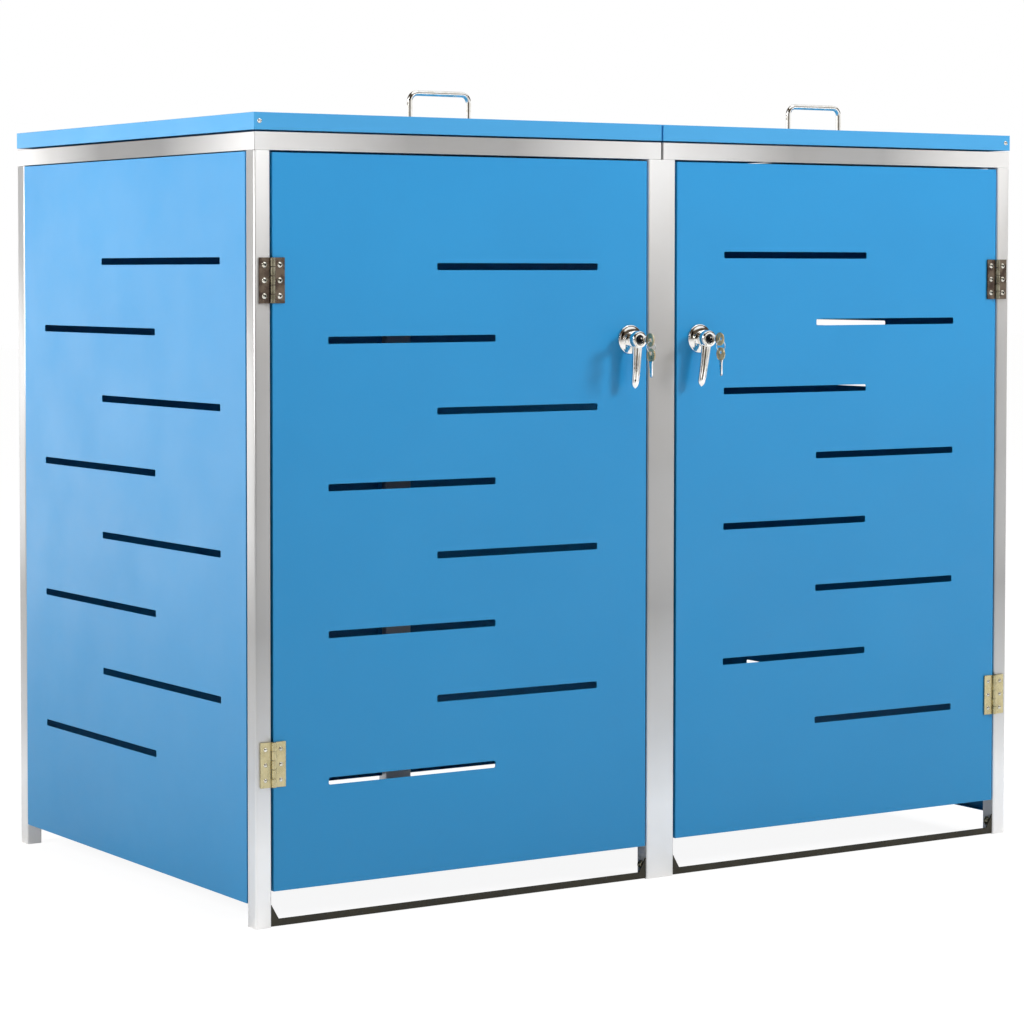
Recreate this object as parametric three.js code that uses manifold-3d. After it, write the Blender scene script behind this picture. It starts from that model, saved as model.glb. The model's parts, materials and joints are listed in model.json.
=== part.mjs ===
// A two-bay outdoor wheelie-bin shed: a square-tube frame on six posts, two slotted
// doors with lever locks, slotted side panels, plain back panels and two lift-up lids.
//
// Frame of the part: +Z up from the ground, +X to the right seen from the front, and the
// doors on the -Y side. The origin is on the ground at the middle of the overall box.
// Millimetres.

import * as THREE from 'three';
import { mergeVertices } from 'three/addons/utils/BufferGeometryUtils.js';
import Module from 'manifold-3d';

const wasm = await Module();
wasm.setup();

// ---------------------------------------------------------------- driving dimensions

const shedWidth = 1380; // over the outer posts
const shedDepth = 775; // over the front and rear posts
const shedHeight = 1125; // ground to lid top
const seam = 0.3; // gap left between pieces that touch

const tube = 25; // side of the square frame tube
const centrePostWidth = 50;
const tubeWall = 1.5;
const bayGap = 3; // between the two top frames, and between the two lids

const sheet = 1.2; // thickness of the painted sheet
const sidePanelGap = 1.5; // round the fixed panels
const sidePanelFlange = 15;
const sidePanelBottom = 32; // underside, from the ground
const backPanelBottom = 50;

const doorGap = 3; // round the doors
const doorFlange = 20;

const slotHeight = 10;
const slotCorner = 2;
const slotCount = 8;
const slotPitch = 102.6;
const doorSlotLength = 278;
const doorSlotMargin = 88.5; // from the door's edges to the slots
const sideSlotLength = 375;
const sideSlotMargin = 73.5;
const sideLowestSlot = 204;

const lidHeight = 24;
const lidOverhang = 0.5; // at the front and the outer side
const lidLift = 2.5; // from the top frame to the lid's edge

const baseRailHeight = 10;
const baseRailDepth = 20;
const baseRailLift = 1;
const baseRailWall = 2;
const baseRailSetback = 2; // behind the posts' front faces
const gussetWidth = 12;
const gussetHeight = 31;

const hingeHeight = 63;
const hingeReach = 20; // from the pin to the leaf's edge
const hingeLeaf = 2;
const hingeKnuckle = 3.5; // radius
const hingePin = 1.8; // radius
const hingeKnuckleCount = 5;
const upperHingeZ = 895;
const lowerHingeZ = 227;

const lidHingeLength = 600;
const lidHingeReach = 19;
const lidHingeLeaf = 1.5;
const lidHingeKnuckle = 3;
const lidHingePin = 1.4;
const lidHingeKnuckleCount = 7;
const pinClearance = 0.3;

const bowWidth = 100; // lid handle, between the rod's centres
const bowHeight = 38; // to the rod's centre
const bowRod = 4; // radius
const bowBend = 14;
const bowSetback = 72; // behind the posts' front faces

const lockZ = 807;
const roseRadius = 21.5;
const roseThickness = 5;
const neckRadius = 9;
const neckFront = 9; // ahead of the door's face
const barrelLength = 22; // behind the door's face
const spindleRadius = 6;
const lockNutFlats = 27;
const lockNutThickness = 6;

const headRadius = 13;
const headLength = 17;
const leverLength = 66; // from the spindle to the centre of the tip
const leverTopWidth = 17;
const leverTipWidth = 12;
const leverThickness = 9;
const leverSetback = 3; // behind the head's front face

const camLength = 54;
const camWidth = 16;
const camThickness = 3;
const camBehindPost = 1;
const spindleTail = 2; // past the cam

const plugRadius = 6;
const plugLength = 12;
const keyReach = 34; // from the lock's face to the bow's end
const keyBowRadius = 10;
const keyHoleRadius = 3;
const keyHoleOffset = 2.5; // from the bow's centre, towards its end
const keyThickness = 2;
const bladeHeight = 8;
const bladeInside = 9;
const ringRadius = 8;
const ringWire = 0.9;

// Each door's own values: its side, its underside and its lowest slot from the ground, its
// lock's distance from its free edge and how far its lever leans to the left, in degrees.
const doors = [
  { name: 'left', side: -1, bottom: 50, lowestSlot: 196, lockInset: 30, leverLean: 4 },
  { name: 'right', side: 1, bottom: 56, lowestSlot: 214, lockInset: 42, leverLean: 9 },
];

const roundSides = 20;
const hingeSides = 12;
const cornerSteps = 1;
const bowSteps = 24;
const bowSides = 12;

// ---------------------------------------------------------------- derived places

const lidBottom = shedHeight - lidHeight;
const frameTop = lidBottom - lidLift;
const railBottom = frameTop - tube;
const postTop = railBottom - seam;
const doorTop = railBottom - doorGap;

const headBack = neckFront + seam;
const headFront = headBack + headLength;
const keyHoleReach = headFront + keyReach - keyBowRadius + keyHoleOffset;
const frontReach = keyHoleReach + keyBowRadius;
const rearReach = seam + 2 * lidHingeKnuckle;
const frontY = (frontReach - rearReach - shedDepth) / 2;
const rearY = frontY + shedDepth;

const halfWidth = shedWidth / 2;
const bayInner = centrePostWidth / 2; // from the middle plane to a bay's opening
const bayOuter = halfWidth - tube;
const doorWidth = bayOuter - bayInner - 2 * doorGap;
const hingeX = bayOuter - doorGap / 2;
const lidHingeZ = (frameTop + lidBottom) / 2;
const camY = tube + camBehindPost;

// ---------------------------------------------------------------- materials

function finish(color, roughness, metalness) {
  return new THREE.MeshStandardMaterial({ color, roughness, metalness });
}

const bluePaint = finish('#3f93cf', 0.35, 0);
const framePolish = finish('#cfcfcd', 0.3, 1);
const hingeSteel = finish('#a89f8c', 0.35, 1);
const baseSteel = finish('#35332c', 0.6, 0.6);
const chromePlate = finish('#dcdcdc', 0.08, 1);
const zincPlate = finish('#b9bcc0', 0.4, 1);

// ---------------------------------------------------------------- solids

const part = new THREE.Group();

/** A closed solid from a three.js geometry. */
function solid(geometry) {
  const bare = geometry.index ? geometry.toNonIndexed() : geometry.clone();
  bare.deleteAttribute('normal');
  bare.deleteAttribute('uv');
  const merged = mergeVertices(bare, 1e-4);
  const triangles = [];
  for (let i = 0; i < merged.index.count; i += 3) {
    const [a, b, c] = [0, 1, 2].map((k) => merged.index.getX(i + k));
    if (a !== b && b !== c && c !== a) triangles.push(a, b, c);
  }
  return new wasm.Manifold(new wasm.Mesh({
    numProp: 3,
    vertProperties: new Float32Array(merged.attributes.position.array),
    triVerts: new Uint32Array(triangles),
  }));
}

function join(first, ...others) {
  return others.reduce((whole, other) => whole.add(other), first);
}

function cut(first, ...others) {
  return others.reduce((whole, other) => whole.subtract(other), first);
}

/** A box between two corners. */
function block([x0, y0, z0], [x1, y1, z1]) {
  const geometry = new THREE.BoxGeometry(x1 - x0, y1 - y0, z1 - z0);
  geometry.translate((x0 + x1) / 2, (y0 + y1) / 2, (z0 + z1) / 2);
  return solid(geometry);
}

/** A shape drawn in X and Y, raised along Z. */
function raised(shape, height, steps = cornerSteps) {
  const options = { depth: height, bevelEnabled: false, curveSegments: steps };
  return solid(new THREE.ExtrudeGeometry(shape, options));
}

/** A shape drawn in X and Z, with its thickness running from y0 to y1. */
function facing(shape, y0, y1, steps = cornerSteps) {
  const options = { depth: y1 - y0, bevelEnabled: false, curveSegments: steps };
  const geometry = new THREE.ExtrudeGeometry(shape, options);
  geometry.rotateX(Math.PI / 2);
  geometry.translate(0, y1, 0);
  return solid(geometry);
}

/** A round bar along Y. */
function barY(radius, y0, y1, sides = roundSides) {
  const geometry = new THREE.CylinderGeometry(radius, radius, y1 - y0, sides);
  geometry.translate(0, (y0 + y1) / 2, 0);
  return solid(geometry);
}

/** A round bar along Z. */
function barZ(radius, z0, z1, sides = hingeSides) {
  const geometry = new THREE.CylinderGeometry(radius, radius, z1 - z0, sides);
  geometry.rotateX(Math.PI / 2);
  geometry.translate(0, 0, (z0 + z1) / 2);
  return solid(geometry);
}

/** A turned solid about Y, from [radius, y] points that run towards +Y. */
function turned(profile) {
  const points = profile.map(([radius, y]) => new THREE.Vector2(radius, y));
  return solid(new THREE.LatheGeometry(points, roundSides));
}

function rectangle(x0, y0, x1, y1) {
  return new THREE.Shape([[x0, y0], [x1, y0], [x1, y1], [x0, y1]].map((p) => new THREE.Vector2(...p)));
}

function roundedRectangle(x0, y0, x1, y1, r) {
  const shape = new THREE.Shape();
  shape.absarc(x1 - r, y0 + r, r, -Math.PI / 2, 0, false);
  shape.absarc(x1 - r, y1 - r, r, 0, Math.PI / 2, false);
  shape.absarc(x0 + r, y1 - r, r, Math.PI / 2, Math.PI, false);
  shape.absarc(x0 + r, y0 + r, r, Math.PI, 1.5 * Math.PI, false);
  return shape;
}

/** A strap from a round end at the origin to a round end at y = length. */
function strap(length, startRadius, endRadius) {
  const lean = Math.asin((startRadius - endRadius) / Math.abs(length));
  const shape = new THREE.Shape();
  shape.absarc(0, 0, startRadius, Math.PI - lean, lean, false);
  shape.absarc(0, length, endRadius, lean, Math.PI - lean, false);
  return shape;
}

/** Adds a named mesh to a group. */
function place(group, name, material, piece) {
  const mesh = piece.getMesh();
  const geometry = new THREE.BufferGeometry();
  geometry.setAttribute('position', new THREE.BufferAttribute(mesh.vertProperties, 3));
  geometry.setIndex(new THREE.BufferAttribute(mesh.triVerts, 1));
  geometry.computeVertexNormals();
  const node = new THREE.Mesh(geometry, material);
  node.name = name;
  group.add(node);
  return node;
}

function groupAt(parent, x, y, z) {
  const group = new THREE.Group();
  group.position.set(x, y, z);
  parent.add(group);
  return group;
}

// ---------------------------------------------------------------- frame

/** A hollow post, closed at the foot, with its outer corner at the local origin. */
function postSolid(width) {
  const outside = block([0, 0, 0], [width, tube, postTop]);
  const low = [tubeWall, tubeWall, tubeWall];
  const high = [width - tubeWall, tube - tubeWall, postTop + 1];
  return cut(outside, block(low, high));
}

function addPosts() {
  const columns = [
    ['left', -halfWidth, tube],
    ['centre', -centrePostWidth / 2, centrePostWidth],
    ['right', halfWidth - tube, tube],
  ];
  for (const [row, y] of [['front', frontY], ['rear', rearY - tube]]) {
    for (const [column, x, width] of columns) {
      place(groupAt(part, x, y, 0), `${row}_${column}_post`, framePolish, postSolid(width));
    }
  }
}

/** A hollow rail with mitred ends, its long face on local y = 0. */
function mitredRail(length) {
  const plan = new THREE.Shape([
    new THREE.Vector2(seam, 0),
    new THREE.Vector2(length - seam, 0),
    new THREE.Vector2(length - tube - seam, tube),
    new THREE.Vector2(tube + seam, tube),
  ]);
  const bore = block([-1, tubeWall, tubeWall], [length + 1, tube - tubeWall, tube - tubeWall]);
  return cut(raised(plan, tube), bore);
}

/** Four rails in a mitred rectangle on top of one bay's posts. */
function addTopFrame(name, side) {
  const length = halfWidth - bayGap / 2;
  const x0 = side < 0 ? -halfWidth : bayGap / 2;
  const x1 = x0 + length;
  const outer = side < 0 ? 'left' : 'right';
  const inner = side < 0 ? 'right' : 'left';
  const rails = [
    ['front', x0, frontY, 0, length],
    [inner, x1, frontY, Math.PI / 2, shedDepth],
    ['rear', x1, rearY, Math.PI, length],
    [outer, x0, rearY, -Math.PI / 2, shedDepth],
  ];
  if (side > 0) [rails[1][0], rails[3][0]] = [outer, inner];
  for (const [edge, x, y, turn, run] of rails) {
    const label = edge === 'front' || edge === 'rear' ? edge : edge === outer ? 'outer' : 'inner';
    const group = groupAt(part, x, y, railBottom);
    group.rotation.z = turn;
    place(group, `${name}_top_rail_${label}`, framePolish, mitredRail(run));
  }
}

/** An angle across one doorway at the ground, with a triangular tab up each post. */
function addBaseRail(name, side) {
  const length = bayOuter - bayInner - 2 * seam;
  const web = new THREE.Shape([
    new THREE.Vector2(0, 0),
    new THREE.Vector2(length, 0),
    new THREE.Vector2(length, gussetHeight),
    new THREE.Vector2(length - gussetWidth, baseRailHeight),
    new THREE.Vector2(gussetWidth, baseRailHeight),
    new THREE.Vector2(0, gussetHeight),
  ]);
  const upright = facing(web, 0, baseRailWall);
  const foot = block([0, 0, 0], [length, baseRailDepth, baseRailWall]);
  const x = side < 0 ? -bayOuter + seam : bayInner + seam;
  const group = groupAt(part, x, frontY + baseRailSetback, baseRailLift);
  place(group, `${name}_base_rail`, baseSteel, join(upright, foot));
}

// ---------------------------------------------------------------- sheet panels

/** A tray of sheet, its face on local y = 0 and its flanges running towards +Y. */
function trayFacingFront(width, height, flange) {
  const outside = block([0, 0, 0], [width, flange, height]);
  const inside = block([sheet, sheet, sheet], [width - sheet, flange + 1, height - sheet]);
  return cut(outside, inside);
}

/** Slot cutters in alternating columns, the upper one of each pair starting at x1. */
function slotCutters(lowest, x0, x1, length) {
  return Array.from({ length: slotCount }, (_, i) => {
    const z = lowest + i * slotPitch;
    const x = i % 2 === 0 ? x0 : x1;
    const low = z - slotHeight / 2;
    const shape = roundedRectangle(x, low, x + length, low + slotHeight, slotCorner);
    return facing(shape, -1, sheet + 1);
  });
}

/** A side panel: the slots nearer the doors and nearer the back alternate. */
function addSidePanel(name, side) {
  const width = shedDepth - 2 * tube - 2 * sidePanelGap;
  const height = railBottom - sidePanelGap - sidePanelBottom;
  const near = sideSlotMargin;
  const far = width - sideSlotMargin - sideSlotLength;
  const columns = side < 0 ? [near, far] : [far, near];
  const cutters = slotCutters(sideLowestSlot - sidePanelBottom, ...columns, sideSlotLength);
  const panel = cut(trayFacingFront(width, height, sidePanelFlange), ...cutters);
  const endY = side < 0 ? rearY - tube - sidePanelGap : frontY + tube + sidePanelGap;
  const group = groupAt(part, side * halfWidth, endY, sidePanelBottom);
  group.rotation.z = side * Math.PI / 2;
  place(group, `${name}_side_panel`, bluePaint, panel);
}

function addBackPanel(name, side) {
  const width = bayOuter - bayInner - 2 * sidePanelGap;
  const height = railBottom - sidePanelGap - backPanelBottom;
  const x = side < 0 ? -bayInner - sidePanelGap : bayOuter - sidePanelGap;
  const group = groupAt(part, x, rearY, backPanelBottom);
  group.rotation.z = Math.PI;
  place(group, `${name}_back_panel`, bluePaint, trayFacingFront(width, height, sidePanelFlange));
}

/** A door: a slotted tray with a hole for the lock's barrel. */
function addDoor({ name, side, bottom, lowestSlot, lockInset }) {
  const height = doorTop - bottom;
  const outerSlot = doorSlotMargin;
  const innerSlot = doorWidth - doorSlotMargin - doorSlotLength;
  const columns = side < 0 ? [outerSlot, innerSlot] : [innerSlot, outerSlot];
  const cutters = slotCutters(lowestSlot - bottom, ...columns, doorSlotLength);
  const lockHole = barY(neckRadius + seam, -1, sheet + 1);
  const lockAt = side < 0 ? doorWidth - lockInset : lockInset;
  const x = side < 0 ? -bayOuter + doorGap : bayInner + doorGap;
  const tray = trayFacingFront(doorWidth, height, doorFlange);
  const door = cut(tray, ...cutters, lockHole.translate([lockAt, 0, lockZ - bottom]));
  place(groupAt(part, x, frontY, bottom), `${name}_door`, bluePaint, door);
}

/** A lid: a shallow tray, open underneath. */
function addLid(name, side) {
  const width = halfWidth + lidOverhang - bayGap / 2;
  const depth = shedDepth + lidOverhang;
  const outside = block([0, 0, 0], [width, depth, lidHeight]);
  const inside = block([sheet, sheet, -1], [width - sheet, depth - sheet, lidHeight - sheet]);
  const x = side < 0 ? -halfWidth - lidOverhang : bayGap / 2;
  const group = groupAt(part, x, frontY - lidOverhang, lidBottom);
  place(group, `${name}_lid`, bluePaint, cut(outside, inside));
}

// ---------------------------------------------------------------- hinges

/**
 * One hinge leaf about a pin on local Z. The plate runs along X on the side `dir`, and its
 * back lies at y = knuckle, where the piece that it is screwed to begins.
 */
function hingeLeafSolid({ length, reach, leaf, knuckle, pin, count }, dir, firstKnuckle) {
  const [near, far] = [knuckle + seam, reach].map((x) => x * dir);
  const plate = (x0, x1, z0, z1) => block(
    [Math.min(x0, x1), knuckle - leaf, z0],
    [Math.max(x0, x1), knuckle, z1],
  );
  const pieces = [plate(near, far, -length / 2, length / 2)];
  const pitch = length / count;
  for (let i = firstKnuckle; i < count; i += 2) {
    const low = -length / 2 + i * pitch + seam / 2;
    const high = low + pitch - seam;
    pieces.push(plate(0, near + dir, low, high), barZ(knuckle, low, high));
  }
  return cut(join(...pieces), barZ(pin + pinClearance, -length, length));
}

function addDoorHinge(name, side, z) {
  const size = {
    length: hingeHeight,
    reach: hingeReach,
    leaf: hingeLeaf,
    knuckle: hingeKnuckle,
    pin: hingePin,
    count: hingeKnuckleCount,
  };
  const group = groupAt(part, side * hingeX, frontY - seam - hingeKnuckle, z);
  place(group, `${name}_hinge_frame_leaf`, hingeSteel, hingeLeafSolid(size, side, 0));
  place(group, `${name}_hinge_door_leaf`, hingeSteel, hingeLeafSolid(size, -side, 1));
  place(group, `${name}_hinge_pin`, hingeSteel, barZ(hingePin, -hingeHeight / 2, hingeHeight / 2));
}

/** The lid's long hinge behind the rear rail: local Z runs along +X and local X points up. */
function addLidHinge(name, side) {
  const size = {
    length: lidHingeLength,
    reach: lidHingeReach,
    leaf: lidHingeLeaf,
    knuckle: lidHingeKnuckle,
    pin: lidHingePin,
    count: lidHingeKnuckleCount,
  };
  const x = side * (halfWidth + bayGap / 2) / 2;
  const group = groupAt(part, x, rearY + seam + lidHingeKnuckle, lidHingeZ);
  const up = new THREE.Vector3(0, 0, 1);
  const forwards = new THREE.Vector3(0, -1, 0);
  const along = new THREE.Vector3(1, 0, 0);
  group.quaternion.setFromRotationMatrix(new THREE.Matrix4().makeBasis(up, forwards, along));
  place(group, `${name}_lid_hinge_frame_leaf`, zincPlate, hingeLeafSolid(size, -1, 0));
  place(group, `${name}_lid_hinge_lid_leaf`, zincPlate, hingeLeafSolid(size, 1, 1));
  const pin = barZ(lidHingePin, -lidHingeLength / 2, lidHingeLength / 2);
  place(group, `${name}_lid_hinge_pin`, zincPlate, pin);
}

// ---------------------------------------------------------------- lid handles

/** A round rod bent into a bow, with both feet on the lid. */
function addLidHandle(name, side) {
  const half = bowWidth / 2;
  const corner = (sign) => new THREE.QuadraticBezierCurve3(
    new THREE.Vector3(sign * (half - (sign > 0 ? bowBend : 0)), 0, bowHeight - (sign > 0 ? 0 : bowBend)),
    new THREE.Vector3(sign * half, 0, bowHeight),
    new THREE.Vector3(sign * (half - (sign > 0 ? 0 : bowBend)), 0, bowHeight - (sign > 0 ? bowBend : 0)),
  );
  const path = new THREE.CurvePath();
  path.add(new THREE.LineCurve3(new THREE.Vector3(-half, 0, 0), corner(-1).v0));
  path.add(corner(-1));
  path.add(new THREE.LineCurve3(corner(-1).v2, corner(1).v0));
  path.add(corner(1));
  path.add(new THREE.LineCurve3(corner(1).v2, new THREE.Vector3(half, 0, 0)));
  const section = new THREE.Shape();
  section.absarc(0, 0, bowRod, 0, 2 * Math.PI, false);
  const options = {
    steps: bowSteps,
    curveSegments: bowSides / 2,
    bevelEnabled: false,
    extrudePath: path,
  };
  const bow = solid(new THREE.ExtrudeGeometry(section, options));
  const x = side * (halfWidth + lidOverhang + bayGap / 2) / 2;
  const group = groupAt(part, x, frontY + bowSetback, shedHeight + seam);
  place(group, `${name}_lid_handle`, chromePlate, bow);
}

// ---------------------------------------------------------------- locks

// Every lock piece is built about the spindle, with y = 0 on the door's face, -Y outwards.

/** The rose, neck and threaded barrel in one casting, bored for the spindle. */
function lockHousing() {
  const bore = spindleRadius + pinClearance;
  const edge = roseThickness / 3;
  return turned([
    [bore, -neckFront],
    [neckRadius, -neckFront],
    [neckRadius, -roseThickness],
    [roseRadius * 0.7, -roseThickness],
    [roseRadius, -edge],
    [roseRadius, -seam],
    [neckRadius, -seam],
    [neckRadius, barrelLength],
    [bore, barrelLength],
    [bore, -neckFront],
  ]);
}

function lockNut() {
  const start = sheet + seam;
  const radius = lockNutFlats / Math.sqrt(3);
  const nut = barY(radius, start, start + lockNutThickness, 6);
  return cut(nut, barY(neckRadius + seam, 0, barrelLength));
}

/** The lever: a round head, a tapered arm hanging down and the spindle through the door. */
function leverSolid() {
  const head = barY(headRadius, -headFront, -headBack);
  const armFront = headFront - leverSetback;
  const outline = strap(-leverLength, leverTopWidth / 2, leverTipWidth / 2);
  const arm = facing(outline, -armFront, leverThickness - armFront, 6);
  const spindle = barY(spindleRadius, -headBack - 1, camY + camThickness + spindleTail);
  const plugBore = barY(plugRadius + seam, -headFront - 1, plugLength + seam - headFront);
  return cut(join(head, arm, spindle), plugBore);
}

/** The cam, which swings behind the centre post. */
function camSolid() {
  const outline = strap(camLength, camWidth / 2, camWidth / 2);
  const plate = facing(outline, camY, camY + camThickness, 6);
  return cut(plate, barY(spindleRadius + seam, camY - 1, camY + camThickness + 1));
}

/** The lock's plug, with a keyway. */
function plugSolid() {
  const plug = barY(plugRadius, -headFront, plugLength - headFront, 16);
  const halfX = keyThickness / 2 + seam;
  const halfZ = bladeHeight / 2 + seam;
  const bottom = bladeInside + seam - headFront;
  return cut(plug, block([-halfX, -headFront - 1, -halfZ], [halfX, bottom, halfZ]));
}

/** A flat key in the Y-Z plane: its blade runs along +Y from a round bow at the origin. */
function keySolid() {
  const bladeEnd = keyReach - keyBowRadius + bladeInside;
  const bow = new THREE.Shape();
  bow.absarc(0, 0, keyBowRadius, 0, 2 * Math.PI, false);
  const hole = new THREE.Path();
  hole.absarc(-keyHoleOffset, 0, keyHoleRadius, 0, 2 * Math.PI, true);
  bow.holes.push(hole);
  const disc = raised(bow, keyThickness, 8);
  const blade = raised(
    rectangle(keyBowRadius - 2, -bladeHeight / 2, bladeEnd, bladeHeight / 2),
    keyThickness,
  );
  return join(disc, blade).translate([0, 0, -keyThickness / 2]);
}

/** Stands a flat key on edge; a turn of 90 degrees then hangs it blade down. */
function placeKey(group, name, hang) {
  const node = place(group, name, chromePlate, keySolid());
  const along = new THREE.Vector3(0, hang ? 0 : 1, hang ? -1 : 0);
  const thick = new THREE.Vector3(1, 0, 0);
  const across = new THREE.Vector3().crossVectors(thick, along);
  node.quaternion.setFromRotationMatrix(new THREE.Matrix4().makeBasis(along, across, thick));
}

/** The split ring through the key's bow, and the second key hanging from it. */
function addKeyRing(lock, name) {
  const rest = keyHoleRadius - ringWire - seam;
  const ringZ = -rest - ringRadius;
  const ring = new THREE.TorusGeometry(ringRadius, ringWire, 6, 20);
  ring.rotateX(Math.PI / 2);
  const ringGroup = groupAt(lock, 0, -keyHoleReach, ringZ);
  place(ringGroup, `${name}_key_ring`, chromePlate, solid(ring));
  const spareZ = ringZ - ringRadius - rest - keyHoleOffset;
  placeKey(groupAt(lock, 0, -keyHoleReach, spareZ), `${name}_spare_key`, true);
}

function addLock({ name, side, lockInset, leverLean }) {
  const lock = groupAt(part, side * (bayInner + doorGap + lockInset), frontY, lockZ);
  place(lock, `${name}_lock_housing`, chromePlate, lockHousing());
  place(lock, `${name}_lock_nut`, zincPlate, lockNut());
  const leverGroup = groupAt(lock, 0, 0, 0);
  leverGroup.rotation.y = THREE.MathUtils.degToRad(leverLean);
  place(leverGroup, `${name}_lock_lever`, chromePlate, leverSolid());
  place(lock, `${name}_lock_cam`, zincPlate, camSolid());
  place(lock, `${name}_lock_plug`, zincPlate, plugSolid());
  placeKey(groupAt(lock, 0, keyHoleOffset - keyHoleReach, 0), `${name}_key`, false);
  addKeyRing(lock, name);
}

// ---------------------------------------------------------------- assembly

addPosts();
for (const door of doors) {
  const { name, side } = door;
  addTopFrame(name, side);
  addBaseRail(name, side);
  addSidePanel(name, side);
  addBackPanel(name, side);
  addDoor(door);
  addLid(name, side);
  addDoorHinge(`${name}_upper`, side, upperHingeZ);
  addDoorHinge(`${name}_lower`, side, lowerHingeZ);
  addLidHinge(name, side);
  addLidHandle(name, side);
  addLock(door);
}

export default part;
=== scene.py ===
"""The looks of a two-bay outdoor bin shed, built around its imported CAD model.

Metres and degrees, +Z up, doors on the -Y side. Painted trays, rails and hinge leaves are CAD
nodes with better materials and soft edges. Posts, locks, keys and lid handles are finer pieces
that stand for their CAD nodes, and fasteners and hinge barrels are added.
"""

import json
import math

import bpy
from mathutils import Matrix, Vector

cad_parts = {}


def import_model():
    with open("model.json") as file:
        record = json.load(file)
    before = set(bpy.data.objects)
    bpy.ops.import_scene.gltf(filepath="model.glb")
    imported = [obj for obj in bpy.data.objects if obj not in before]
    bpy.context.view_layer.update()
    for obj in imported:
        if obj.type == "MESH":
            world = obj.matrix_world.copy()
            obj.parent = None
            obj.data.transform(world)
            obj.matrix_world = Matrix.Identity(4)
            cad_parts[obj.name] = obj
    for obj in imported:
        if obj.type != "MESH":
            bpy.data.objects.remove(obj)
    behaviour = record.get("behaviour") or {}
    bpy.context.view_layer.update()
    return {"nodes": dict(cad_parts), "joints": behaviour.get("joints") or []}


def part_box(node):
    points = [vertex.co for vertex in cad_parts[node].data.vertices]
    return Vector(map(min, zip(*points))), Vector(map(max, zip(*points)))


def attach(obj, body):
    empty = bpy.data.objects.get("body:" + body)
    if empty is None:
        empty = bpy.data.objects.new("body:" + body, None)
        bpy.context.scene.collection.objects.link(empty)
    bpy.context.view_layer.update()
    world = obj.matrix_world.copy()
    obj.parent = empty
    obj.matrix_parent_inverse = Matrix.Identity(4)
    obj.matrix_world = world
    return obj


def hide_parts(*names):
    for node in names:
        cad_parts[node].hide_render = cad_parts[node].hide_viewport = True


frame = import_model()

MM = 0.001
SIDES = {"left": -1, "right": 1}
NODES = frame["nodes"]
JOINTS = {joint["name"]: joint for joint in frame["joints"]}
OUTWARDS = (0, -1, 0)  # out of the doors
BACKWARDS = (0, 1, 0)
AXIS_HOLE = 0.1 * MM  # radius where a turned profile meets its axis
SUNK = 0.2 * MM  # how far a fastener reaches into what it holds
DOOR_HINGE_LEAF = 2 * MM  # thickness
LID_HINGE_LEAF = 1.5 * MM
LEVER_LEAN = {"left": 4, "right": 9}  # the tip to the left
KEY_BOW_RADIUS = 10 * MM
scene = bpy.context.scene


# ------------------------------------------------------------------ material helpers


MIX_FACTOR, MIX_FIRST, MIX_SECOND, MIX_RESULT = 0, 6, 7, 2  # sockets of a colour Mix node


class Graph:
    """A node tree, with short ways to add and link its nodes."""

    def __init__(self, tree):
        self.tree = tree

    def node(self, kind, **values):
        """Adds a node. Names in capitals set inputs, the others set properties."""
        made = self.tree.nodes.new(kind)
        for name, value in values.items():
            if name[0].isupper():
                made.inputs[name].default_value = value
            else:
                setattr(made, name, value)
        return made

    def link(self, source, target):
        self.tree.links.new(source, target)

    def spread(self, source, low, high, start=0.0, end=1.0):
        """Maps source from start..end to low..high."""
        made = self.node("ShaderNodeMapRange")
        for name, value in (("From Min", start), ("From Max", end), ("To Min", low), ("To Max", high)):
            made.inputs[name].default_value = value
        self.link(source, made.inputs["Value"])
        return made.outputs["Result"]

    def ramp(self, source, stops):
        """A colour ramp from (position, colour) stops."""
        made = self.node("ShaderNodeValToRGB")
        elements = made.color_ramp.elements
        while len(elements) < len(stops):
            elements.new(0.5)
        for element, (position, colour) in zip(elements, stops):
            element.position = position
            element.color = (*colour, 1)
        self.link(source, made.inputs["Fac"])
        return made.outputs["Color"]

    def mix(self, factor, first, second, blend="MIX"):
        """Mixes two colours. The factor and each colour are a number, a colour or a socket."""
        made = self.node("ShaderNodeMix", data_type="RGBA", blend_type=blend)
        for index, value in ((MIX_FACTOR, factor), (MIX_FIRST, first), (MIX_SECOND, second)):
            if isinstance(value, bpy.types.NodeSocket):
                self.link(value, made.inputs[index])
            elif index == MIX_FACTOR:
                made.inputs[index].default_value = value
            else:
                made.inputs[index].default_value = (*value, 1)
        return made.outputs[MIX_RESULT]


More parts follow.
